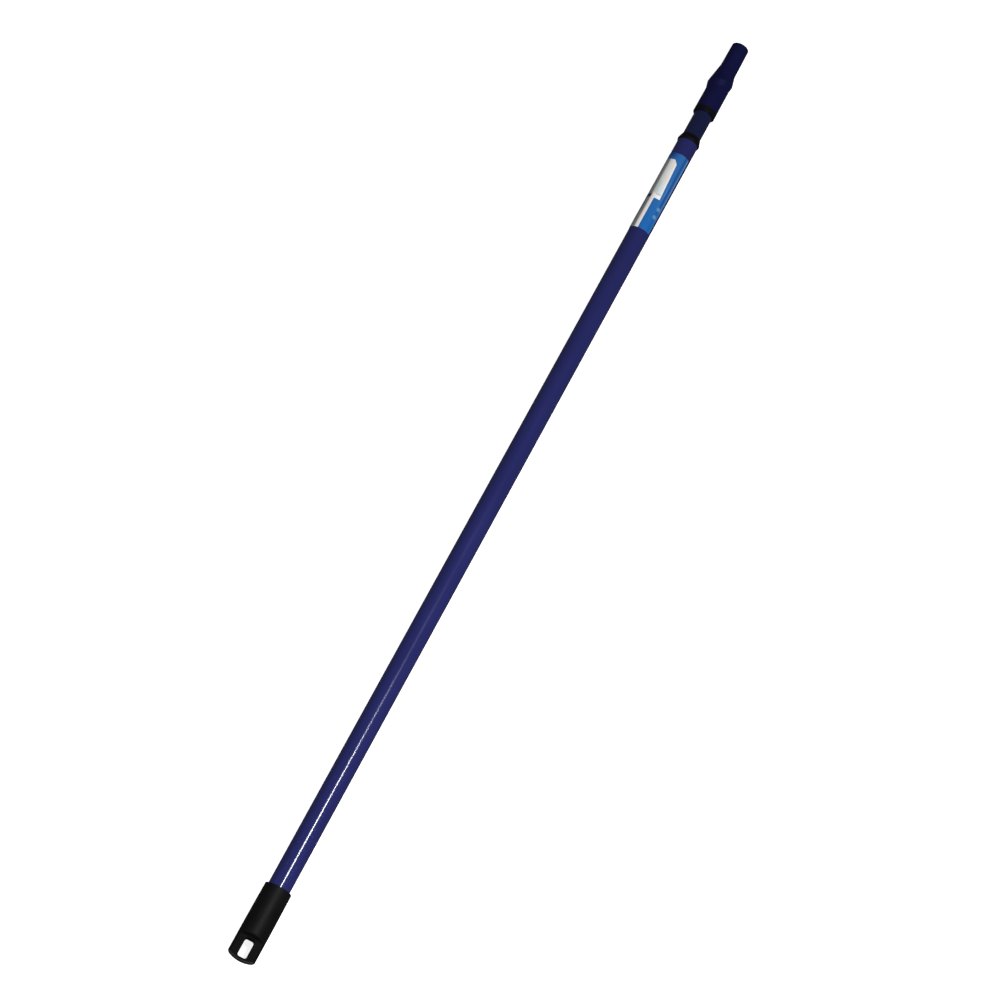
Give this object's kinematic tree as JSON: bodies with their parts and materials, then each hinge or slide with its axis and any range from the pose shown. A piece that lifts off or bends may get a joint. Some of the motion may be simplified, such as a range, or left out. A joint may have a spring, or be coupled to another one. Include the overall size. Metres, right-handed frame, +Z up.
{
  "type": "roller extension pole",
  "caption": "Telescopic pole for a paint roller, shown closed: blue coated steel tubes, push-on tip, twist lock inside, black end cap with a hanging hole.",
  "frame": {"origin": "under the middle of the closed pole, on the surface that it lies on", "axes": "+X along the pole from the hanging end to the tip that takes the roller, +Y to the left of it, +Z up, square to the flats of the hanging tab"},
  "size_m": [1.2208, 0.0312, 0.0312],
  "materials": {
    "blue_coating": "gloss",
    "dark_blue_coating": "gloss",
    "black_plastic": "satin",
    "navy_plastic": "satin",
    "printed_label": "satin",
    "nylon": "satin",
    "zinced_steel": "satin"
  },
  "bodies": {
    "outer_stage": {"outer_tube": "blue_coating", "end_cap": "black_plastic", "collar_bush": "black_plastic", "label": "printed_label"},
    "guide": {"guide_ring": "nylon"},
    "inner_stage": {"inner_tube": "dark_blue_coating", "roller_tip": "navy_plastic", "tip_band": "black_plastic", "tip_pin_left": "zinced_steel", "tip_pin_right": "zinced_steel", "cam_plug": "black_plastic", "plug_pin_left": "zinced_steel", "plug_pin_right": "zinced_steel", "retaining_washer": "zinced_steel", "retaining_screw": "zinced_steel"},
    "cam": {"cam_ring": "nylon"}
  },
  "joints": [
    {"name": "extend", "type": "slide", "parent": "outer_stage", "child": "guide", "axis": [1, 0, 0], "range_m": [0, 0.78]},
    {"name": "twist", "type": "hinge", "parent": "guide", "child": "inner_stage", "pos_m": [0, 0, 0.01562], "axis": [1, 0, 0], "range_deg": [-90, 90]},
    {"name": "cam_turn", "type": "hinge", "parent": "inner_stage", "child": "cam", "pos_m": [0, 0.00075, 0.01562], "axis": [1, 0, 0], "range_deg": [-90, 90]}
  ],
  "couplings": [
    {"joint": "cam_turn", "follows": "twist", "ratio": -1}
  ]
}
